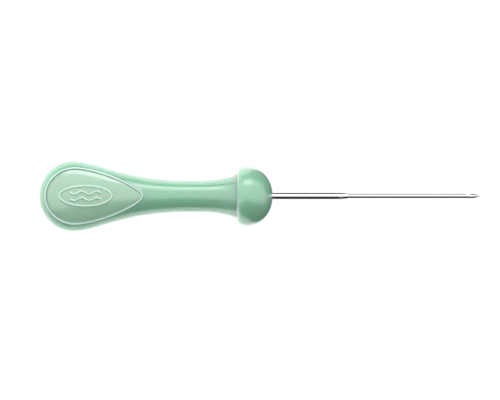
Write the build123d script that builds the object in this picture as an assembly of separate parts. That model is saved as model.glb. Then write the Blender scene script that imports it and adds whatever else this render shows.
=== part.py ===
from build123d import *
import math
import os

os.makedirs("parts", exist_ok=True)

# A hooked awl, in millimetres. +X runs along the steel towards the hook, +Y is the side the hook
# opens to and +Z is square to the front thumb pad. The origin is where the steel leaves the knob.

# Handle, counted back from the knob's front: knob, flare, neck, taper, butt
knob_length = 10.6
flare_length = 10.3
neck_length = 4.0
taper_length = 34.1
butt_length = 10.0
paddle_half_width = 10.37
paddle_half_thickness = 5.8
neck_radius = 4.74
flare_radius = 6.7
knob_radius = 8.87
knob_dome_length = 7.5
knob_rear_step = 0.1

# How far the two outline curves run on level before they bend, at each of their ends
taper_lead_butt = 7.5
taper_lead_neck = 19.5
flare_lead_neck = 4.5
flare_lead_knob = 1.5
flare_end_slope = 0.6

# Cross-sections that the handle's skin is carried through: egg-shaped butt, taper and flare
butt_steps = 7
taper_steps = 10
flare_steps = 6

# Thumb pads let into both faces of the paddle
pad_butt_margin = 2.3
pad_side_margin = 2.42
pad_butt_round = 8.5
pad_taper = 19.7
pad_lead_butt = 7.0
pad_lead_tip = 2.0
pad_recess = 0.6
pad_fit = 0.04
pad_core_half = 2.6
rim_width = 0.45
rim_height = 0.16

# Raised emblem on the front pad: an oval ring round two rows of waves
emblem_from_butt = 14.0
emblem_half_length = 7.9
emblem_half_height = 3.2
emblem_height = 0.28
emblem_line = 0.5
wave_half_length = 2.2
wave_rise = 0.42
wave_count = 4
wave_row_offset = 0.95

# Steel: a tube, the cone that closes it and the wire that it holds
sleeve_radius = 0.9
sleeve_exposed = 19.75
sleeve_buried = 32.0
sleeve_waist_radius = 0.7
sleeve_waist_length = 1.2
waist_cover = 0.15
needle_radius = 0.6
needle_exposed = 41.35
steel_fit = 0.01
crimp_radius = 0.42
crimp_length = 0.8
crimp_cover = 0.1
ferrule_length = 2.6
ferrule_rim_height = 0.1
ferrule_rim_length = 0.45
ferrule_nose_wall = 0.08

# Hook, with every length counted back from the needle's tip
point_length = 1.45
nose_radius = 0.26
throat_front = 1.3
beak_length = 1.5
notch_foot = 2.95
notch_start = 4.1
throat_floor = -0.15
throat_roof = 0.25
beak_tip_drop = 0.16

# Spigot, and the collar that holds the steel between it and the knob
spigot_radius = 3.2
spigot_length = 6.7
spigot_fit = 0.04
collar_radius = 2.0
collar_flats = 3.2
collar_length = 3.0
collar_fit = 0.04

# Places along X that several pieces share
knob_rear = -knob_length
neck_front = knob_rear - flare_length
neck_rear = neck_front - neck_length
widest = neck_rear - taper_length
butt_end = widest - butt_length
spigot_front = knob_rear + spigot_length
ferrule_nose = sleeve_exposed + ferrule_length
tip = sleeve_exposed + needle_exposed
pad_half_width = paddle_half_width - pad_side_margin
reach = 2 * paddle_half_width


def rod(radius, start, end):
    """A round bar along X."""
    return Solid.make_cylinder(radius, end - start, Plane((start, 0, 0), z_dir=(1, 0, 0)))


def bezier(points, t):
    """The point at t on a cubic curve with four control points."""
    weights = ((1 - t) ** 3, 3 * t * (1 - t) ** 2, 3 * t * t * (1 - t), t**3)
    return [sum(w * p[axis] for w, p in zip(weights, points)) for axis in (0, 1)]


def body_form(half_thickness):
    """The handle's outer form behind the knob: ellipses that turn into circles at the neck."""
    taper = (
        (widest, paddle_half_width),
        (widest + taper_lead_butt, paddle_half_width),
        (neck_rear - taper_lead_neck, neck_radius),
        (neck_rear, neck_radius),
    )
    flare = (
        (neck_front, neck_radius),
        (neck_front + flare_lead_neck, neck_radius),
        (knob_rear - flare_lead_knob, flare_radius - flare_lead_knob * flare_end_slope),
        (knob_rear, flare_radius),
    )
    stations = []
    for step in range(1, butt_steps):
        turn = math.pi / 2 * step / butt_steps
        x = widest - butt_length * math.cos(turn)
        stations.append((x, paddle_half_width * math.sin(turn), half_thickness * math.sin(turn)))
    for step in range(taper_steps + 1):
        x, half_width = bezier(taper, step / taper_steps)
        thinning = (1 + math.cos(math.pi * (x - widest) / taper_length)) / 2
        stations.append((x, half_width, neck_radius + (half_thickness - neck_radius) * thinning))
    for step in range(flare_steps + 1):
        x, radius = bezier(flare, step / flare_steps)
        stations.append((x, radius, radius))
    sections = [Vertex(butt_end, 0, 0)]
    for x, half_width, half_height in stations:
        across = Plane((x, 0, 0), x_dir=(0, 1, 0), z_dir=(1, 0, 0))
        sections.append(across * Ellipse(half_width, half_height))
    return loft(sections)


def teardrop(inset):
    """The thumb pad's outline, drawn in from its pocket by the inset, standing on the core."""
    round_rear = butt_end + pad_butt_margin
    shoulder = round_rear + pad_butt_round
    point = shoulder + pad_taper - inset
    half_width = pad_half_width - inset
    edges = [
        EllipticalCenterArc((shoulder, 0), pad_butt_round - inset, half_width, 90, arc_size=180),
    ]
    for side in (1, -1):
        edges.append(
            Bezier(
                (shoulder, side * half_width),
                (shoulder + pad_lead_butt, side * half_width),
                (point, side * pad_lead_tip),
                (point, 0),
            )
        )
    return Pos(0, 0, pad_core_half) * extrude(make_face(edges), amount=reach)


def emblem():
    """An oval ring and two rows of waves, as tall prisms from the core up."""
    middle = butt_end + emblem_from_butt
    ring = Ellipse(emblem_half_length, emblem_half_height)
    ring -= Ellipse(emblem_half_length - emblem_line, emblem_half_height - emblem_line)
    marks = [Pos(middle, 0) * ring]
    for row in (-wave_row_offset, wave_row_offset):
        start = middle - wave_count * wave_half_length / 2
        crests = []
        for number in range(wave_count):
            left = start + number * wave_half_length
            rise = wave_rise if number % 2 else -wave_rise
            crests.append(
                ThreePointArc(
                    (left, row),
                    (left + wave_half_length / 2, row + rise),
                    (left + wave_half_length, row),
                )
            )
        marks.append(trace(Wire(crests), emblem_line))
    return [Pos(0, 0, pad_core_half) * extrude(mark, amount=reach) for mark in marks]


def pad():
    """One plain thumb pad on the front side, its crown a little below the paddle's surface."""
    return teardrop(pad_fit) & body_form(paddle_half_thickness - pad_recess)


def front_pad():
    relief = body_form(paddle_half_thickness - pad_recess + emblem_height)
    solid = pad()
    for mark in emblem():
        solid += mark & relief
    return solid


def back_pad():
    return mirror(pad(), about=Plane.XY)


def collar_block(gap):
    """The anchor collar's outside: a disc with two flats, its front face level with the spigot."""
    disc = rod(collar_radius + gap, spigot_front - collar_length, spigot_front)
    flats = Box(reach, reach, collar_flats + 2 * gap)
    return disc & flats


def handle_body():
    """Paddle, neck and flare in one moulding, with a spigot for the knob at its front."""
    pocket = teardrop(0)
    rim = teardrop(-rim_width) - pocket
    rim &= body_form(paddle_half_thickness + rim_height)
    half = body_form(paddle_half_thickness)
    solid = half + rim + mirror(rim, about=Plane.XY)
    solid -= pocket
    solid -= mirror(pocket, about=Plane.XY)
    solid += rod(spigot_radius, knob_rear, spigot_front)
    solid -= rod(sleeve_radius + steel_fit, -sleeve_buried, spigot_front)
    solid -= collar_block(collar_fit)
    return solid


def nose_knob():
    """Domed finger stop that caps the spigot and clamps the collar."""
    dome_start = -knob_dome_length
    corner = flare_radius + knob_rear_step
    rear_rise = knob_radius - corner
    outline = [
        Line((0, 0), (knob_rear, 0)),
        Line((knob_rear, 0), (knob_rear, corner)),
        EllipticalCenterArc((dome_start, corner), dome_start - knob_rear, rear_rise, 90, arc_size=90),
        EllipticalCenterArc((dome_start, 0), knob_dome_length, knob_radius, 0, arc_size=90),
    ]
    solid = revolve(make_face(outline), Axis.X)
    solid -= rod(spigot_radius + spigot_fit, knob_rear, spigot_front)
    solid -= rod(sleeve_radius + steel_fit, knob_rear, knob_length)
    return solid


def anchor_collar():
    return collar_block(0) - rod(sleeve_radius, -sleeve_buried, 0)


def shank_sleeve():
    """Tube with a waist just inside the knob's mouth, which takes the glue."""
    waist_front = -waist_cover
    waist_rear = waist_front - sleeve_waist_length
    solid = rod(sleeve_radius, -sleeve_buried, sleeve_exposed)
    solid -= rod(reach, waist_rear, waist_front) - rod(sleeve_waist_radius, waist_rear, waist_front)
    solid -= rod(needle_radius + steel_fit, -sleeve_buried, sleeve_exposed)
    return solid


def sleeve_ferrule():
    """Cone that closes the sleeve, swaged down into the needle's crimp groove."""
    inner = needle_radius + steel_fit
    nose = inner + ferrule_nose_wall
    bead_front = ferrule_nose - crimp_cover
    bead_rear = bead_front - crimp_length
    rim_front = sleeve_exposed + ferrule_rim_length
    rim_middle = (sleeve_exposed + ferrule_rim_length / 2, sleeve_radius + ferrule_rim_height)
    outline = [
        ThreePointArc((sleeve_exposed, sleeve_radius), rim_middle, (rim_front, sleeve_radius)),
        Polyline(
            (rim_front, sleeve_radius),
            (ferrule_nose, nose),
            (ferrule_nose, inner),
            (bead_front, inner),
            (bead_front, crimp_radius + steel_fit),
            (bead_rear, crimp_radius + steel_fit),
            (bead_rear, inner),
            (sleeve_exposed, inner),
            (sleeve_exposed, sleeve_radius),
        ),
    ]
    return revolve(make_face(outline), Axis.X)


def hook_needle():
    """Wire with a crimp groove under the ferrule and a hook cut into its pointed end."""
    groove_front = ferrule_nose - crimp_cover
    groove_rear = groove_front - crimp_length
    point_start = tip - point_length
    nose_start = tip - nose_radius
    outline = [
        Polyline(
            (tip, 0),
            (-sleeve_buried, 0),
            (-sleeve_buried, needle_radius),
            (groove_rear, needle_radius),
            (groove_rear, crimp_radius),
            (groove_front, crimp_radius),
            (groove_front, needle_radius),
            (point_start, needle_radius),
            (nose_start, nose_radius),
        ),
        CenterArc((nose_start, 0), nose_radius, 0, 90),
    ]
    # half a turn puts the wire's seam on the side away from the hook's mouth
    solid = Rot(180, 0, 0) * revolve(make_face(outline), Axis.X)
    throat_middle = (throat_floor + throat_roof) / 2
    throat_radius = (throat_roof - throat_floor) / 2
    throat_end = tip - throat_front
    beak_tip = throat_end - beak_length
    above = needle_radius + throat_radius
    notch = [
        CenterArc((throat_end - throat_radius, throat_middle), throat_radius, -90, 180),
        Polyline(
            (throat_end - throat_radius, throat_roof),
            (beak_tip, needle_radius - beak_tip_drop),
            (beak_tip, above),
            (tip - notch_start, above),
            (tip - notch_start, needle_radius),
            (tip - notch_foot, throat_floor),
            (throat_end - throat_radius, throat_floor),
        ),
    ]
    solid -= extrude(make_face(notch), amount=needle_radius * 2, both=True)
    return solid


pieces = {
    "handle_body": handle_body,
    "front_pad": front_pad,
    "back_pad": back_pad,
    "nose_knob": nose_knob,
    "anchor_collar": anchor_collar,
    "shank_sleeve": shank_sleeve,
    "sleeve_ferrule": sleeve_ferrule,
    "hook_needle": hook_needle,
}
for name, make in pieces.items():
    export_step(make(), f"parts/{name}.step")
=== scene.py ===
import bmesh
import bpy
import math
import numpy as np
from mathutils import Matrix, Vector


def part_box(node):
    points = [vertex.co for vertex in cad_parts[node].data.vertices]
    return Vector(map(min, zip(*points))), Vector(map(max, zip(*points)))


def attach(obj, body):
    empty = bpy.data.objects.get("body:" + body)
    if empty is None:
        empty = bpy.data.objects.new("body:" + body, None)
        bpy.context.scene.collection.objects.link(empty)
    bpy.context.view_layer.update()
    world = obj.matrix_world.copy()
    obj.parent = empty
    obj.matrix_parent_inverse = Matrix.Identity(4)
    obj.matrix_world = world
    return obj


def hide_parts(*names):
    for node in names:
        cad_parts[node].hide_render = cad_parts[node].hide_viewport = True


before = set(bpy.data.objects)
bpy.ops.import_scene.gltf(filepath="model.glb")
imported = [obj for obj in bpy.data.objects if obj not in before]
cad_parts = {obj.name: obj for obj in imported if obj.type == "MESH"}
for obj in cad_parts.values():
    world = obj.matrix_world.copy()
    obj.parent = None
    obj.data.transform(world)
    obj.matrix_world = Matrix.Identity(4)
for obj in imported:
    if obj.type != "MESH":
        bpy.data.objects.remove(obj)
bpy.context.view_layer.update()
mm = 0.001  # shapes are worked out in millimetres, meshes are in metres
mergeWithin = 0.001  # points closer than this, in millimetres, become one
shortestEdge = 0.0005
tiny = 1e-6  # keeps a division or a pole away from zero


def nodeBox(node):
    # low and high corner of a CAD node, in millimetres
    return [np.array(corner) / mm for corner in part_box(node)]


def spaced(start, end, count):
    # count values in even steps, both ends included
    return np.linspace(start, end, count)


def cubic(points, t):
    # a cubic curve: each control point weighted by its share at t
    p = np.array(points, float)
    w = np.stack([(1 - t) ** 3, 3 * t * (1 - t) ** 2, 3 * t * t * (1 - t), t ** 3], -1)
    return w @ p


def smoothStep(low, high, value):
    # 0 below low, 1 above high, and an s-shaped rise between
    t = np.clip((value - low) / (high - low), 0, 1)
    return t * t * (3 - 2 * t)


def pieceFromGrids(name, grids, material, sharpAbove):
    # each grid is rows x columns of points in millimetres, with a fourth value for how much pale painted
    # highlight the point gets;
    # cells become quads, doubles are merged, and edges over sharpAbove degrees stay sharp
    points, quads, base = [], [], 0
    for grid in grids:
        rows, columns = grid.shape[:2]
        if grid.shape[2] == 3:
            grid = np.concatenate([grid, np.zeros((rows, columns, 1))], -1)
        index = base + np.arange(rows * columns).reshape(rows, columns)
        cells = [index[:-1, :-1], index[1:, :-1], index[1:, 1:], index[:-1, 1:]]
        quads.append(np.stack(cells, -1).reshape(-1, 4))
        points.append(grid.reshape(-1, 4))
        base += rows * columns
    points = np.concatenate(points)
    mesh = bpy.data.meshes.new(name)
    mesh.from_pydata((points[:, :3] * mm).tolist(), [], np.concatenate(quads).tolist())
    paintedLight = mesh.attributes.new("paintedHighlight", "FLOAT", "POINT")
    paintedLight.data.foreach_set("value", points[:, 3].astype(np.float32))
    work = bmesh.new()
    work.from_mesh(mesh)
    bmesh.ops.remove_doubles(work, verts=work.verts, dist=mergeWithin * mm)
    bmesh.ops.dissolve_degenerate(work, edges=work.edges, dist=shortestEdge * mm)
    bmesh.ops.recalc_face_normals(work, faces=work.faces)
    work.to_mesh(mesh)
    work.free()
    mesh.polygons.foreach_set("use_smooth", np.ones(len(mesh.polygons), bool))
    mesh.set_sharp_from_angle(angle=math.radians(sharpAbove))
    piece = bpy.data.objects.new(name, mesh)
    bpy.context.scene.collection.objects.link(piece)
    mesh.materials.append(material)
    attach(piece, "root")
    return piece


def turned(profile, segments):
    # a profile of (x, radius) carried round the x axis
    profile = np.array(profile, float)
    angle = spaced(0, 2 * math.pi, segments + 1)
    x = np.repeat(profile[:, :1], segments + 1, 1)
    y = profile[:, 1:] * np.cos(angle)
    z = profile[:, 1:] * np.sin(angle)
    return np.stack([x, y, z], -1)


def arcOf(centre, radii, fromDegrees, toDegrees, count):
    # part of an ellipse in the (x, radius) plane
    angle = np.radians(spaced(fromDegrees, toDegrees, count))
    return np.stack([centre[0] + radii[0] * np.cos(angle), centre[1] + radii[1] * np.sin(angle)], -1)


def mirrored(grids, axis):
    # the same grids with one coordinate negated
    copies = [grid.copy() for grid in grids]
    for grid in copies:
        grid[..., axis] *= -1
    return copies


def withPaintedLight(grid, paintedLight):
    # adds the painted-highlight share to each point
    return np.concatenate([grid, np.broadcast_to(paintedLight, grid.shape[:2])[..., None]], -1)


def newMaterial(name):
    # an empty material, its node tree and its shader
    material = bpy.data.materials.new(name)
    material.use_nodes = True
    tree = material.node_tree
    return material, tree, tree.nodes["Principled BSDF"]


def addNode(tree, kind, values=None, **settings):
    # a node with its settings and the values of its inputs
    node = tree.nodes.new(kind)
    for key, value in settings.items():
        setattr(node, key, value)
    for key, value in (values or {}).items():
        node.inputs[key].default_value = value
    return node


plastic = {
    # pale colour painted on the bead's crest and the emblem's raised lines as a painted highlight
    "highlightColour": (0.62, 0.88, 0.74),
    "specular": 1.0,
    "coat": 0.5,
    "scatter": 1.0,
    # subsurface weight under the painted highlight, turned down so its pale colour shows
    "scatterUnderHighlight": 0.1,
    "scatterColours": (0.15, 1.0, 0.5),
    "sheen": 0.3,
    "sheenRoughness": 0.35,
    "flowScale": 90,
    "flowStretch": 0.35,
    "flowFrom": 0.35,
    "flowTo": 0.65,
    "glossBelow": 0.03,
    "glossRange": 0.07,
    "grainScale": 2600,
    "grainStrength": 0.06,
    "grainDepth": 0.00004,
}

handleLook = {
    "colour": (0.285, 0.53, 0.385),
    "deepColour": (0.25, 0.50, 0.35),
    "roughness": 0.24,
    "coatRoughness": 0.18,
    "scatterDepth": 0.005,
}

padLook = {
    "colour": (0.385, 0.585, 0.445),
    "deepColour": (0.35, 0.56, 0.41),
    "roughness": 0.14,
    "coatRoughness": 0.08,
    "scatterDepth": 0.0015,
}


def mouldedPlastic(name, look):
    # translucent plastic: soft flow marks in the colour, fine orange peel in the gloss, and a pale painted
    # highlight on the bead's crest and the emblem's lines, read from a mesh attribute
    material, tree, shader = newMaterial(name)
    link = tree.links.new
    where = addNode(tree, "ShaderNodeTexCoord")
    flow = addNode(tree, "ShaderNodeTexNoise", {"Scale": plastic["flowScale"], "Detail": 3.0})
    stretch = addNode(tree, "ShaderNodeMapping", {"Scale": (plastic["flowStretch"], 1.0, 1.0)})
    link(where.outputs["Object"], stretch.inputs["Vector"])
    link(stretch.outputs["Vector"], flow.inputs["Vector"])
    tint = addNode(tree, "ShaderNodeValToRGB")
    tint.color_ramp.elements[0].position = plastic["flowFrom"]
    tint.color_ramp.elements[0].color = (*look["deepColour"], 1)
    tint.color_ramp.elements[1].position = plastic["flowTo"]
    tint.color_ramp.elements[1].color = (*look["colour"], 1)
    link(flow.outputs["Fac"], tint.inputs["Fac"])
    # the mesh attribute marks where the pale painted highlight goes; the pale colour is mixed into the
    # base colour there
    paintedLight = addNode(tree, "ShaderNodeAttribute", attribute_name="paintedHighlight")
    highlighted = addNode(tree, "ShaderNodeMix", data_type="RGBA")
    highlighted.inputs["B"].default_value = (*plastic["highlightColour"], 1)
    link(paintedLight.outputs["Fac"], highlighted.inputs["Factor"])
    link(tint.outputs["Color"], highlighted.inputs["A"])
    link(highlighted.outputs["Result"], shader.inputs["Base Color"])
    smoothest = look["roughness"] - plastic["glossBelow"]
    roughest = smoothest + plastic["glossRange"]
    gloss = addNode(tree, "ShaderNodeMapRange", {"To Min": smoothest, "To Max": roughest})
    link(flow.outputs["Fac"], gloss.inputs["Value"])
    link(gloss.outputs["Result"], shader.inputs["Roughness"])
    grain = addNode(tree, "ShaderNodeTexNoise", {"Scale": plastic["grainScale"], "Detail": 2.0})
    link(where.outputs["Object"], grain.inputs["Vector"])
    bump = {"Strength": plastic["grainStrength"], "Distance": plastic["grainDepth"]}
    peel = addNode(tree, "ShaderNodeBump", bump)
    link(grain.outputs["Fac"], peel.inputs["Height"])
    link(peel.outputs["Normal"], shader.inputs["Normal"])
    shader.inputs["IOR"].default_value = 1.5
    # less scatter under the painted highlight, so its pale colour shows
    fade = {"To Min": plastic["scatter"], "To Max": plastic["scatterUnderHighlight"]}
    cloudy = addNode(tree, "ShaderNodeMapRange", fade)
    link(paintedLight.outputs["Fac"], cloudy.inputs["Value"])
    link(cloudy.outputs["Result"], shader.inputs["Subsurface Weight"])
    shader.inputs["Subsurface Radius"].default_value = plastic["scatterColours"]
    shader.inputs["Subsurface Scale"].default_value = look["scatterDepth"]
    shader.inputs["Specular IOR Level"].default_value = plastic["specular"]
    shader.inputs["Coat Weight"].default_value = plastic["coat"]
    shader.inputs["Coat Roughness"].default_value = look["coatRoughness"]
    shader.inputs["Sheen Weight"].default_value = plastic["sheen"]
    shader.inputs["Sheen Roughness"].default_value = plastic["sheenRoughness"]
    return material


steel = {
    "colour": (0.80, 0.80, 0.81),
    "roughness": 0.08,
    "collarColour": (0.55, 0.55, 0.56),
    "collarRoughness": 0.35,
    "scratchScale": 1500,
    "scratchStretch": 0.03,
    "glossBelow": 0.03,
    "glossAbove": 0.05,
    "darkest": 0.94,
}


def polishedSteel(name, roughness, colour):
    # drawn wire: faint draw lines along x vary the gloss and the colour
    material, tree, shader = newMaterial(name)
    link = tree.links.new
    where = addNode(tree, "ShaderNodeTexCoord")
    along = addNode(tree, "ShaderNodeMapping", {"Scale": (steel["scratchStretch"], 1.0, 1.0)})
    lines = addNode(tree, "ShaderNodeTexNoise", {"Scale": steel["scratchScale"], "Detail": 4.0})
    link(where.outputs["Object"], along.inputs["Vector"])
    link(along.outputs["Vector"], lines.inputs["Vector"])
    spread = {"To Min": roughness - steel["glossBelow"], "To Max": roughness + steel["glossAbove"]}
    gloss = addNode(tree, "ShaderNodeMapRange", spread)
    link(lines.outputs["Fac"], gloss.inputs["Value"])
    link(gloss.outputs["Result"], shader.inputs["Roughness"])
    tint = addNode(tree, "ShaderNodeMapRange", {"To Min": steel["darkest"], "To Max": 1.0})
    link(lines.outputs["Fac"], tint.inputs["Value"])
    shade = addNode(tree, "ShaderNodeMix", {"Factor": 1.0}, data_type="RGBA", blend_type="MULTIPLY")
    shade.inputs["A"].default_value = (*colour, 1)
    link(tint.outputs["Result"], shade.inputs["B"])
    link(shade.outputs["Result"], shader.inputs["Base Color"])
    shader.inputs["Metallic"].default_value = 1.0
    return material


handlePlastic = mouldedPlastic("mintMoulding", handleLook)
padPlastic = mouldedPlastic("mintPad", padLook)
needleSteel = polishedSteel("polishedWire", steel["roughness"], steel["colour"])
collarSteel = polishedSteel("turnedCollar", steel["collarRoughness"], steel["collarColour"])
print("materials ready")


bodyLow, bodyHigh = nodeBox("handle_body")
knobLow, knobHigh = nodeBox("nose_knob")

handle = {
    "buttLength": 10.0,
    "taperLength": 34.1,
    "neckLength": 4.0,
    "halfThickness": 5.8,
    "neckRadius": 4.74,
    "taperLeads": (7.5, 19.5),
    "flareLeads": (4.5, 1.5),
    "flareSlope": 0.6,
    "spigotRadius": 3.2,
    "recessRadius": 2.06,
    "recessLength": 3.0,
    "boreRadius": 0.92,
    "outlineSteps": 300,
    "sideRays": 150,
    "endRays": 30,
    "floorSteps": 6,
    "wallSteps": 5,
    "beadSteps": 10,
    "skinSteps": 56,
    "rayKnees": (0, 0.3, 0.65, 1),
    "padKnees": (0, 0.37, 0.85, 0.93),
    "sideKnees": (0, 0.243, 0.57, 1),
    "waist": (1, 14),
}

pad = {
    "buttMargin": 2.3,
    "sideMargin": 2.42,
    "roundLength": 8.5,
    "taperLength": 19.7,
    "leads": (7.0, 2.0),
    "recess": 0.6,
    "gap": 0.02,
    "rowBunching": 0.6,
    "edgeRound": 0.1,
    "floorHeight": 2.6,
    "beadWidth": 0.5,
    "beadHeight": 0.17,
    # how narrow the painted highlight on the bead's crest is
    "beadHighlightPower": 1.5,
    "frontGrid": (360, 240),
    "backGrid": (160, 90),
}

buttEnd = bodyLow[0]
knobRear = knobLow[0]
spigotFront = bodyHigh[0]
halfWidth = bodyHigh[1]
flareRadius = bodyHigh[2]
widest = buttEnd + handle["buttLength"]
neckRear = widest + handle["taperLength"]
neckFront = neckRear + handle["neckLength"]

curveShare = spaced(0, 1, 500)
taperCurve = cubic(
    [
        (widest, halfWidth),
        (widest + handle["taperLeads"][0], halfWidth),
        (neckRear - handle["taperLeads"][1], handle["neckRadius"]),
        (neckRear, handle["neckRadius"]),
    ],
    curveShare,
)
flareCurve = cubic(
    [
        (neckFront, handle["neckRadius"]),
        (neckFront + handle["flareLeads"][0], handle["neckRadius"]),
        (knobRear - handle["flareLeads"][1], flareRadius - handle["flareLeads"][1] * handle["flareSlope"]),
        (knobRear, flareRadius),
    ],
    curveShare,
)
outlineCurve = np.concatenate([taperCurve, flareCurve])


def buttShare(x):
    # the egg-shaped butt: a quarter ellipse from the very end, 0, to the widest place, 1
    return np.sqrt(np.clip(1 - (np.clip(widest - x, 0, None) / handle["buttLength"]) ** 2, 0, 1))


def halfWidthAt(x):
    # the taper and flare curves, closed by the butt's ellipse
    return buttShare(x) * np.interp(x, outlineCurve[:, 0], outlineCurve[:, 1])


def halfDepthAt(x, thickness):
    # the paddle's thickness thins to the neck's radius along half a cosine wave
    turn = np.clip((x - widest) / handle["taperLength"], 0, 1) * math.pi
    thinning = (1 + np.cos(turn)) / 2
    extra = (thickness - handle["neckRadius"]) * thinning
    behindNeck = handle["neckRadius"] + extra
    return buttShare(x) * np.where(x > neckRear, halfWidthAt(x), behindNeck)


def skinHeight(x, y, thickness):
    # height of an elliptical cross-section over the point (x, y)
    across = np.clip(y / np.maximum(halfWidthAt(x), tiny), -1, 1)
    return halfDepthAt(x, thickness) * np.sqrt(1 - across ** 2)


def skinNormal(x, y, thickness):
    # across the two slopes of the skin, taken over a short step
    step = 0.02
    slopeX = (skinHeight(x + step, y, thickness) - skinHeight(x - step, y, thickness)) / (2 * step)
    slopeY = (skinHeight(x, y + step, thickness) - skinHeight(x, y - step, thickness)) / (2 * step)
    normal = np.stack([-slopeX, -slopeY, np.ones_like(slopeX)], -1)
    return normal / np.linalg.norm(normal, axis=-1, keepdims=True)


def teardropHalf(inset):
    # upper half of the pad's outline: a quarter ellipse at the butt, then a cubic to the point
    rear = buttEnd + pad["buttMargin"]
    shoulder = rear + pad["roundLength"]
    point = shoulder + pad["taperLength"] - inset
    high = halfWidth - pad["sideMargin"] - inset
    start = arcOf((shoulder, 0), (pad["roundLength"] - inset, high), 180, 90, handle["outlineSteps"])
    rest = cubic(
        [(shoulder, high), (shoulder + pad["leads"][0], high), (point, pad["leads"][1]), (point, 0)],
        curveShare,
    )
    return np.concatenate([start, rest[1:]])


def alongLine(line, shares):
    # points at the given shares of a line's length
    lengths = np.concatenate([[0], np.cumsum(np.linalg.norm(np.diff(line, axis=0), axis=1))])
    at = np.asarray(shares) * lengths[-1]
    return np.stack([np.interp(at, lengths, line[:, axis]) for axis in (0, 1)], -1)


def outwardOf(line, shares):
    # the line's side direction at the given shares of its length
    step = 0.002
    tangent = alongLine(line, np.clip(shares + step, 0, 1)) - alongLine(line, np.clip(shares - step, 0, 1))
    side = np.stack([-tangent[:, 1], tangent[:, 0]], -1)
    return side / np.linalg.norm(side, axis=1, keepdims=True)


def handleGrids():
    # rays run from the middle of the pad's pocket, over its bead, out to the handle's side or front end
    outline = teardropHalf(0)
    sideTurn = spaced(0, 1, handle["sideRays"] + 1)
    endTurn = spaced(0, 1, handle["endRays"] + 1)[1:]
    lastSide = handle["padKnees"][-1]
    innerSide = np.interp(sideTurn, handle["rayKnees"], handle["padKnees"])
    innerShare = np.concatenate([innerSide, lastSide + (1 - lastSide) * endTurn])
    buttArc = arcOf((widest, 0), (handle["buttLength"], halfWidth), 180, 90, handle["outlineSteps"])
    silhouette = np.concatenate([buttArc, outlineCurve[1:]])
    outerSide = alongLine(silhouette, np.interp(sideTurn, handle["rayKnees"], handle["sideKnees"]))
    edgeAngle = endTurn * math.pi / 2
    outerEnd = np.stack([np.full_like(edgeAngle, knobRear), flareRadius * np.cos(edgeAngle)], -1)
    outer = np.concatenate([outerSide, outerEnd])
    inner = alongLine(outline, innerShare)
    outward = outwardOf(outline, innerShare)
    outward[0] = (-1, 0)
    outward[-1] = (1, 0)
    thick = handle["halfThickness"]
    floorShare = spaced(0, 1, handle["floorSteps"] + 1)[None, :]
    floorX = np.repeat(inner[:, :1], floorShare.shape[1], 1)
    floor = np.stack([floorX, inner[:, 1:] * floorShare, np.full_like(floorX, pad["floorHeight"])], -1)
    innerHeight = skinHeight(inner[:, 0], inner[:, 1], thick)
    wallShare = spaced(0, 1, handle["wallSteps"] + 1)[None, 1:]
    wallHeight = pad["floorHeight"] + (innerHeight[:, None] - pad["floorHeight"]) * wallShare
    wallFoot = np.repeat(inner[:, None, :], handle["wallSteps"], 1)
    wall = np.concatenate([wallFoot, wallHeight[..., None]], -1)
    across = spaced(0, pad["beadWidth"], handle["beadSteps"] + 1)[1:]
    rim = inner[:, None, :] + outward[:, None, :] * across[None, :, None]
    rimHeight = skinHeight(rim[..., 0], rim[..., 1], thick)
    arch = np.sin(math.pi * across / pad["beadWidth"])
    lift = pad["beadHeight"] * arch
    bead = np.concatenate([rim, rimHeight[..., None]], -1)
    bead += skinNormal(rim[..., 0], rim[..., 1], thick) * lift[None, :, None]
    reach = np.sin(spaced(0, 1, handle["skinSteps"] + 1)[1:] * math.pi / 2)
    start = rim[:, -1:, :]
    straight = start + (outer[:, None, :] - start) * reach[None, :, None]
    sideShare = start[..., 1] / halfWidthAt(start[..., 0])
    outerShare = np.concatenate([np.ones(handle["sideRays"] + 1), outerEnd[:, 1] / flareRadius])
    sideShare = sideShare + (outerShare[:, None] - sideShare) * reach[None, :]
    curvedY = sideShare * halfWidthAt(straight[..., 0])
    waisted = smoothStep(widest + handle["waist"][0], widest + handle["waist"][1], outer[:, 0])[:, None]
    skin = straight.copy()
    skin[..., 1] += (curvedY - straight[..., 1]) * waisted
    skinZ = skinHeight(skin[..., 0], skin[..., 1], thick)
    skinZ[: handle["sideRays"] + 1, -1] = 0
    skin = np.concatenate([skin, skinZ[..., None]], -1)
    upper = np.concatenate([floor, wall, bead, skin], 1)
    # the bead's crest is painted pale, a painted highlight for the light its top catches
    crest = np.zeros(upper.shape[1])
    firstBead = floor.shape[1] + wall.shape[1]
    crest[firstBead : firstBead + len(across)] = arch ** pad["beadHighlightPower"]
    edge = upper[handle["sideRays"] :, -1]
    boreEnd = nodeBox("shank_sleeve")[0][0]
    inward = [
        (knobRear, handle["spigotRadius"]),
        (spigotFront, handle["spigotRadius"]),
        (spigotFront, handle["recessRadius"]),
        (spigotFront - handle["recessLength"], handle["recessRadius"]),
        (spigotFront - handle["recessLength"], handle["boreRadius"]),
        (boreEnd, handle["boreRadius"]),
        (boreEnd, 0),
    ]
    rings = [edge]
    for x, radius in inward:
        ring = edge * (radius / flareRadius)
        ring[:, 0] = x
        rings.append(ring)
    quarter = [withPaintedLight(upper, crest), np.stack(rings)]
    front = quarter + mirrored(quarter, 1)
    return front + mirrored(front, 2)


body = pieceFromGrids("handleMoulding", handleGrids(), handlePlastic, sharpAbove=50)
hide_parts("handle_body")
print("handle body", len(body.data.polygons), "faces")


emblem = {
    "fromButt": 14.0,
    "halfLength": 7.9,
    "halfHeight": 3.2,
    "height": 0.28,
    "line": 0.5,
    "soft": 0.2,
    "waveHalf": 2.2,
    "waveRise": 0.42,
    "waves": 4,
    "rowOffset": 0.95,
    # how pale the emblem's raised lines are painted, as a painted highlight
    "highlightShare": 0.55,
}


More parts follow.
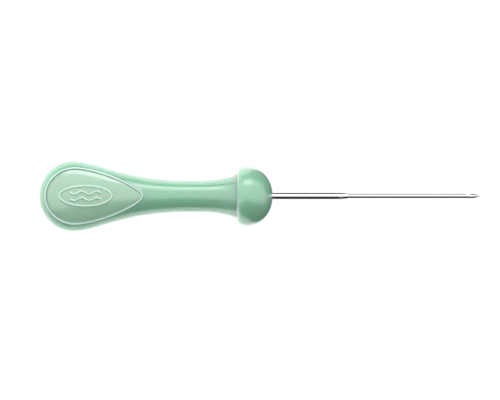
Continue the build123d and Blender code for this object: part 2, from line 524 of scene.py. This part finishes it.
def emblemHeight(x, y):
    # an oval ring and two sine waves; each line is raised where its distance is under half its width
    middle = buttEnd + emblem["fromButt"]
    half = emblem["line"] / 2
    longAxis = emblem["halfLength"] - half
    shortAxis = emblem["halfHeight"] - half
    along = x - middle
    reach = np.sqrt((along / longAxis) ** 2 + (y / shortAxis) ** 2)
    slope = np.sqrt((along / longAxis ** 2) ** 2 + (y / shortAxis ** 2) ** 2) / np.maximum(reach, tiny)
    nearest = np.abs(reach - 1) / np.maximum(slope, tiny)
    rowHalf = emblem["waves"] * emblem["waveHalf"] / 2
    for row in (-emblem["rowOffset"], emblem["rowOffset"]):
        turn = math.pi / emblem["waveHalf"]
        inRow = np.clip(along, -rowHalf, rowHalf)
        crest = row - emblem["waveRise"] * np.sin((inRow + rowHalf) * turn)
        lean = emblem["waveRise"] * turn * np.cos((inRow + rowHalf) * turn)
        distance = np.hypot((y - crest) / np.sqrt(1 + lean ** 2), along - inRow)
        nearest = np.minimum(nearest, distance)
    return emblem["height"] * smoothStep(-emblem["soft"] / 2, emblem["soft"] / 2, half - nearest)


def padGrids(stations, columns, raised):
    # top: rows of points from side to side of the outline; its edge is rounded down to a straight wall
    outline = teardropHalf(pad["gap"])
    share = spaced(0, 1, stations)
    share = share - pad["rowBunching"] * np.sin(2 * math.pi * share) / (2 * math.pi)
    x = outline[0, 0] + (outline[-1, 0] - outline[0, 0]) * share
    side = np.interp(x, outline[:, 0], outline[:, 1])
    side[0] = side[-1] = 0
    across = np.sin(spaced(-1, 1, columns) * math.pi / 2)
    gridX = np.repeat(x[:, None], columns, 1)
    gridY = side[:, None] * across[None, :]
    thick = handle["halfThickness"] - pad["recess"]
    z = skinHeight(gridX, gridY, thick)
    rim = outline[::6]
    toRim = np.hypot(gridX[..., None] - rim[:, 0], np.abs(gridY)[..., None] - rim[:, 1])
    near = np.minimum(toRim.min(-1), pad["edgeRound"])
    near[:, 0] = near[:, -1] = 0
    near[0] = near[-1] = 0
    z -= pad["edgeRound"] - np.sqrt(pad["edgeRound"] ** 2 - (pad["edgeRound"] - near) ** 2)
    relief = emblemHeight(gridX, gridY) if raised else np.zeros_like(z)
    top = np.stack([gridX, gridY, z + relief], -1)
    under = top[:, [0, 0, -1, -1]].copy()
    under[:, 1:3, 2] = pad["floorHeight"]
    # the emblem's raised lines are painted pale in proportion to their height: a painted highlight
    return [withPaintedLight(top, relief / emblem["height"] * emblem["highlightShare"]), under]


frontGrids = padGrids(*pad["frontGrid"], raised=True)
frontPad = pieceFromGrids("thumbPadFront", frontGrids, padPlastic, sharpAbove=60)
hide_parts("front_pad")
backGrids = mirrored(padGrids(*pad["backGrid"], raised=False), 2)
backPad = pieceFromGrids("thumbPadBack", backGrids, padPlastic, sharpAbove=60)
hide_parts("back_pad")
print("pads", len(frontPad.data.polygons), "faces")


knob = {
    "domeLength": 7.5,
    "rearStep": 0.1,
    "socketRadius": 3.24,
    "mouthRadius": 0.91,
    "rearEdgeSteps": 28,
    "domeSteps": 90,
    "segments": 220,
}


def knobGrids():
    # rear face, elliptical rear edge and half an ellipse, turned round x; the socket closes it inside
    radius = knobHigh[1]
    widestKnob = -knob["domeLength"]
    corner = flareRadius + knob["rearStep"]
    edgeRadii = (widestKnob - knobRear, radius - corner)
    rearEdge = arcOf((widestKnob, corner), edgeRadii, 180, 90, knob["rearEdgeSteps"])
    mouthAngle = math.degrees(math.asin(knob["mouthRadius"] / radius))
    dome = arcOf((widestKnob, 0), (knob["domeLength"], radius), 90, mouthAngle, knob["domeSteps"])
    profile = [
        (knobRear, knob["socketRadius"]),
        *rearEdge,
        *dome,
        (spigotFront, knob["mouthRadius"]),
        (spigotFront, knob["socketRadius"]),
        (knobRear, knob["socketRadius"]),
    ]
    return [turned(profile, knob["segments"])]


noseKnob = pieceFromGrids("noseKnob", knobGrids(), handlePlastic, sharpAbove=50)
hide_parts("nose_knob")
print("knob", len(noseKnob.data.polygons), "faces")


sleeve = {
    "waistRadius": 0.7,
    "waist": (-1.35, -0.15),
    "boreRadius": 0.61,
    "edge": 0.05,
    "rings": 12,
    "segments": 96,
}

sleeveLow, sleeveHigh = nodeBox("shank_sleeve")
ferruleLow, ferruleHigh = nodeBox("sleeve_ferrule")
needleLow, needleHigh = nodeBox("hook_needle")


def sleeveGrids():
    # a tube with a glue waist inside the knob and a small break on its front edge
    radius = sleeveHigh[1]
    end = sleeveHigh[0]
    profile = [
        (sleeveLow[0], sleeve["boreRadius"]),
        (sleeveLow[0], radius),
        (sleeve["waist"][0], radius),
        (sleeve["waist"][0], sleeve["waistRadius"]),
        (sleeve["waist"][1], sleeve["waistRadius"]),
        (sleeve["waist"][1], radius),
        *[(x, radius) for x in spaced(0, end - sleeve["edge"], sleeve["rings"])],
        (end, radius - sleeve["edge"]),
        (end, sleeve["boreRadius"]),
        (sleeveLow[0], sleeve["boreRadius"]),
    ]
    return [turned(profile, sleeve["segments"])]


shankSleeve = pieceFromGrids("shankSleeve", sleeveGrids(), needleSteel, sharpAbove=30)
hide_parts("shank_sleeve")

ferrule = {
    "rimLength": 0.45,
    "grooveDepth": 0.14,
    "grooveLength": 0.34,
    "coneHollow": 0.03,
    "noseWall": 0.08,
    "innerRadius": 0.61,
    "beadRadius": 0.43,
    "beadLength": 0.8,
    "beadCover": 0.1,
    "rimSteps": 14,
    "coneSteps": 20,
    "segments": 96,
}


def ferruleGrids():
    # a rounded rim, a fine groove, then a slightly hollow cone down to the wire
    rear, nose = ferruleLow[0], ferruleHigh[0]
    root = sleeveHigh[1]
    rimHeight = ferruleHigh[1] - root
    rimTurn = spaced(0, math.pi, ferrule["rimSteps"])
    rimX = rear + ferrule["rimLength"] * rimTurn / math.pi
    rim = np.stack([rimX, root + rimHeight * np.sin(rimTurn)], -1)
    grooveStart = rear + ferrule["rimLength"]
    coneStart = grooveStart + ferrule["grooveLength"]
    share = spaced(0, 1, ferrule["coneSteps"])
    tipRadius = ferrule["innerRadius"] + ferrule["noseWall"]
    coneRadius = root + (tipRadius - root) * share - ferrule["coneHollow"] * np.sin(math.pi * share)
    cone = np.stack([coneStart + (nose - coneStart) * share, coneRadius], -1)
    beadFront = nose - ferrule["beadCover"]
    beadRear = beadFront - ferrule["beadLength"]
    profile = [
        (rear, ferrule["innerRadius"]),
        *rim,
        (grooveStart + ferrule["grooveLength"] / 2, root - ferrule["grooveDepth"]),
        *cone,
        (nose, ferrule["innerRadius"]),
        (beadFront, ferrule["innerRadius"]),
        (beadFront, ferrule["beadRadius"]),
        (beadRear, ferrule["beadRadius"]),
        (beadRear, ferrule["innerRadius"]),
        (rear, ferrule["innerRadius"]),
    ]
    return [turned(profile, ferrule["segments"])]


steppedFerrule = pieceFromGrids(
    "sleeveFerrule", ferruleGrids(), needleSteel, sharpAbove=30
)
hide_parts("sleeve_ferrule")

hook = {
    "pointLength": 1.45,
    "noseRadius": 0.26,
    "throatFront": 1.3,
    "beakLength": 1.5,
    "notchFoot": 2.95,
    "notchStart": 4.1,
    "throatFloor": -0.15,
    "throatRoof": 0.25,
    "beakDrop": 0.16,
    "grooveRadius": 0.42,
    "arcColumns": 64,
    "flatColumns": 8,
    "plainRings": 20,
    "plainLead": 2,
    "notchLead": 0.01,
    "rampRings": 16,
    "beakRings": 14,
    "roundRings": 10,
    "noseRings": 12,
}


def needleGrids():
    # the wire below the notch, the beak above it and the point ahead of both, as rings cut off at a height
    tip, radius = needleHigh[0], needleHigh[2]
    throatMiddle = (hook["throatFloor"] + hook["throatRoof"]) / 2
    throatRadius = (hook["throatRoof"] - hook["throatFloor"]) / 2
    throatEnd = tip - hook["throatFront"]
    throatCentre = throatEnd - throatRadius
    pointStart = tip - hook["pointLength"]

    def wireRadius(x):
        # a straight taper to the nose, then the nose's quarter circle
        slope = (radius - hook["noseRadius"]) / (hook["pointLength"] - hook["noseRadius"])
        onCone = np.minimum(radius, radius - (x - pointStart) * slope)
        fromNose = np.clip(x - (tip - hook["noseRadius"]), 0, hook["noseRadius"])
        onNose = np.sqrt(hook["noseRadius"] ** 2 - fromNose ** 2)
        return np.where(x > tip - hook["noseRadius"], onNose, onCone)

    def cutAt(x):
        # the notch's ramp and floor, and the throat's round end
        span = (tip - hook["notchStart"], tip - hook["notchFoot"])
        ramp = np.interp(x, span, (radius, hook["throatFloor"]))
        inRound = np.clip(x - throatCentre, 0, throatRadius)
        return np.where(x > throatCentre, throatMiddle - np.sqrt(throatRadius ** 2 - inRound ** 2), ramp)

    def ring(x, wire, cut, below):
        # the part of a circle on one side of the cut, closed by a straight run across it
        half = np.arccos(np.clip(cut / wire, -1, 1))
        share = spaced(0, 1, hook["arcColumns"] + 1)
        first, last = (half, 2 * math.pi - half) if below else (-half, half)
        angle = first[:, None] + (last - first)[:, None] * share[None, :]
        arc = np.stack([wire[:, None] * np.cos(angle), wire[:, None] * np.sin(angle)], -1)
        across = spaced(0, 1, hook["flatColumns"] + 1)[None, 1:, None]
        flat = arc[:, -1:] + (arc[:, :1] - arc[:, -1:]) * across
        yz = np.concatenate([arc, flat], 1)
        return np.concatenate([np.repeat(x[:, None, None], yz.shape[1], 1), yz], -1)

    grooveEnd = ferruleHigh[0] - ferrule["beadCover"]
    groove = (grooveEnd - ferrule["beadLength"], grooveEnd)
    plainSpan = (groove[1] + hook["plainLead"], tip - hook["notchStart"] - hook["notchLead"])
    plain = [
        (needleLow[0], tiny),
        (needleLow[0], radius),
        (groove[0], radius),
        (groove[0], hook["grooveRadius"]),
        (groove[1], hook["grooveRadius"]),
        (groove[1], radius),
        *[(x, radius) for x in spaced(*plainSpan, hook["plainRings"])],
    ]
    plainX, plainR = np.array(plain).T
    roundX = throatCentre + throatRadius * np.sin(spaced(0, 1, hook["roundRings"])[1:] * math.pi / 2)
    notchX = np.concatenate([
        spaced(tip - hook["notchStart"], tip - hook["notchFoot"], hook["rampRings"]),
        spaced(tip - hook["notchFoot"], throatCentre, hook["beakRings"])[1:],
        roundX,
    ])
    lowerX = np.concatenate([plainX, notchX])
    lowerR = np.concatenate([plainR, wireRadius(notchX)])
    lowerCut = np.concatenate([plainR, cutAt(notchX)])
    lower = ring(lowerX, lowerR, lowerCut, True)
    beakX = np.concatenate([
        spaced(throatEnd - hook["beakLength"], throatCentre, hook["beakRings"]),
        roundX,
    ])
    beakR = wireRadius(beakX)
    underside = np.interp(beakX, (beakX[0], throatCentre), (radius - hook["beakDrop"], hook["throatRoof"]))
    inRound = np.clip(beakX - throatCentre, 0, throatRadius)
    rounded = throatMiddle + np.sqrt(throatRadius ** 2 - inRound ** 2)
    beak = ring(beakX, beakR, np.where(beakX > throatCentre, rounded, underside), False)
    beakEnd = np.repeat(beak[:1].mean(1, keepdims=True), beak.shape[1], 1)
    beak = np.concatenate([beakEnd, beak])
    noseTurn = spaced(0, 1, hook["noseRings"])[1:] * math.pi / 2
    pointX = np.concatenate([
        spaced(throatEnd, tip - hook["noseRadius"], hook["beakRings"]),
        tip - hook["noseRadius"] + hook["noseRadius"] * np.sin(noseTurn),
    ])
    pointShare = wireRadius(pointX) / wireRadius(pointX[:1])
    points = []
    for last in (lower[-1], beak[-1]):
        onArc = last[: hook["arcColumns"] + 1]
        grid = np.repeat(onArc[None], len(pointX), 0) * pointShare[:, None, None]
        grid[..., 0] = pointX[:, None]
        points.append(grid)
    return [lower, beak, *points]


needle = pieceFromGrids("hookNeedle", needleGrids(), needleSteel, sharpAbove=30)
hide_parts("hook_needle")
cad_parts["anchor_collar"].data.materials.clear()
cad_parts["anchor_collar"].data.materials.append(collarSteel)
print("steel", len(needle.data.polygons), "needle faces")


stage = {
    "floorSize": 3.0,
    "floorGlow": 0.94,
    "tableGlow": 1.15,
    "floorColour": (0.12, 0.12, 0.12),
    "tableColour": (0.6, 0.6, 0.6),
    "tableDrop": 1,
    "cameraHeight": 0.7,
    "viewWidth": 0.14785,
    "viewCentre": (-0.00669, -0.00118),
}


def glowMaterial(name, colour, glow):
    # a matt surface that also gives off white light
    material, _, shader = newMaterial(name)
    shader.inputs["Base Color"].default_value = (*colour, 1)
    shader.inputs["Roughness"].default_value = 1.0
    shader.inputs["Specular IOR Level"].default_value = 0.0
    shader.inputs["Emission Color"].default_value = (1, 1, 1, 1)
    shader.inputs["Emission Strength"].default_value = glow
    return material


def card(name, material, corners):
    # a flat card from its four corners, in millimetres; the camera doesn't see it
    mesh = bpy.data.meshes.new(name)
    mesh.from_pydata((np.array(corners) * mm).tolist(), [], [(0, 1, 2, 3)])
    mesh.materials.append(material)
    flat = bpy.data.objects.new(name, mesh)
    flat.visible_camera = False
    bpy.context.scene.collection.objects.link(flat)
    return flat


def levelCorners(fromX, toX, fromY, toY, z):
    # a level rectangle's four corners, anticlockwise from above
    return [(fromX, fromY, z), (toX, fromY, z), (toX, toY, z), (fromX, toY, z)]


# the camera sees the floor; the light from below comes from a card under the handle, which ends at the
# knob's nose, so that the steel past it has the world's dark underside below it and keeps its dark lines
ground = knobLow[2]
reach = stage["floorSize"] / mm / 2
floorMaterial = glowMaterial("paleFloor", stage["floorColour"], stage["floorGlow"])
floor = card("floor", floorMaterial, levelCorners(-reach, reach, -reach, reach, ground))
floor.visible_camera = True
floor.visible_diffuse = False
floor.visible_glossy = False
tableMaterial = glowMaterial("lightTable", stage["tableColour"], stage["tableGlow"])
tableLevel = ground - stage["tableDrop"]
card("lightTable", tableMaterial, levelCorners(-reach, 0, -reach, reach, tableLevel))


# a rectangular lamp aimed at the handle, leaned from straight above towards +Y
keyLight = {
    "lean": 56,
    "size": (0.9, 0.36),
    "radiance": 2.6,
    "distance": 1.0,
}
lamp = bpy.data.lights.new("keyBox", "AREA")
lamp.shape = "RECTANGLE"
lamp.size, lamp.size_y = keyLight["size"]
lamp.energy = keyLight["radiance"] * math.pi * keyLight["size"][0] * keyLight["size"][1]
keyBox = bpy.data.objects.new("keyBox", lamp)
lean = math.radians(keyLight["lean"])
towardsLamp = Vector((0, math.sin(lean), math.cos(lean)))
keyBox.location = towardsLamp * keyLight["distance"]
keyBox.rotation_euler = towardsLamp.to_track_quat("Z", "Y").to_euler()
keyBox.visible_camera = False
bpy.context.scene.collection.objects.link(keyBox)

# a white tent overhead and past both ends; it is dark beyond its two long edges
tent = {
    "glow": 1.35,
    "dark": 0.05,
    "darkSideLean": (0.32, 1.0),
    "keySideLean": (1.0, -0.445),
    "ends": 0.35,
    "softness": (-0.1, 0.15),
}
world = bpy.data.worlds.new("studio")
bpy.context.scene.world = world
world.use_nodes = True
sky = world.node_tree
skyDirection = addNode(sky, "ShaderNodeTexCoord")
apart = addNode(sky, "ShaderNodeSeparateXYZ")
sky.links.new(skyDirection.outputs["Generated"], apart.inputs["Vector"])
fromEnds = addNode(sky, "ShaderNodeMath", operation="ABSOLUTE")
sky.links.new(apart.outputs["X"], fromEnds.inputs[0])


def weighted(value, weight, rest=None):
    # value times weight, plus the rest if there is one
    node = addNode(sky, "ShaderNodeMath", {1: weight}, operation="MULTIPLY_ADD")
    sky.links.new(value, node.inputs[0])
    if rest is None:
        node.inputs[2].default_value = 0
    else:
        sky.links.new(rest, node.inputs[2])
    return node.outputs["Value"]


def tentEdge(leanZ, leanY):
    # 1 inside the tent's long edge, 0 outside; the edge leans by the two weights and opens to the ends
    height = weighted(apart.outputs["Z"], leanZ, weighted(fromEnds.outputs["Value"], tent["ends"]))
    place = weighted(apart.outputs["Y"], leanY, height)
    step = addNode(
        sky,
        "ShaderNodeMapRange",
        {"From Min": tent["softness"][0], "From Max": tent["softness"][1]},
        interpolation_type="SMOOTHSTEP",
    )
    sky.links.new(place, step.inputs["Value"])
    return step.outputs["Result"]


bothEdges = addNode(sky, "ShaderNodeMath", operation="MULTIPLY")
sky.links.new(tentEdge(*tent["darkSideLean"]), bothEdges.inputs[0])
sky.links.new(tentEdge(*tent["keySideLean"]), bothEdges.inputs[1])
glow = addNode(sky, "ShaderNodeMapRange", {"To Min": tent["dark"], "To Max": tent["glow"]})
sky.links.new(bothEdges.outputs["Value"], glow.inputs["Value"])
sky.links.new(glow.outputs["Result"], sky.nodes["Background"].inputs["Strength"])
sky.nodes["Background"].inputs["Color"].default_value = (1, 1, 1, 1)

camera = bpy.data.cameras.new("camera")
camera.sensor_width = 36
camera.lens = camera.sensor_width * stage["cameraHeight"] / stage["viewWidth"]
camera.clip_end = 20
cameraHolder = bpy.data.objects.new("camera", camera)
cameraHolder.location = (*stage["viewCentre"], stage["cameraHeight"])
bpy.context.scene.collection.objects.link(cameraHolder)
bpy.context.scene.camera = cameraHolder
bpy.context.scene.view_settings.view_transform = "Standard"
print("stage ready")
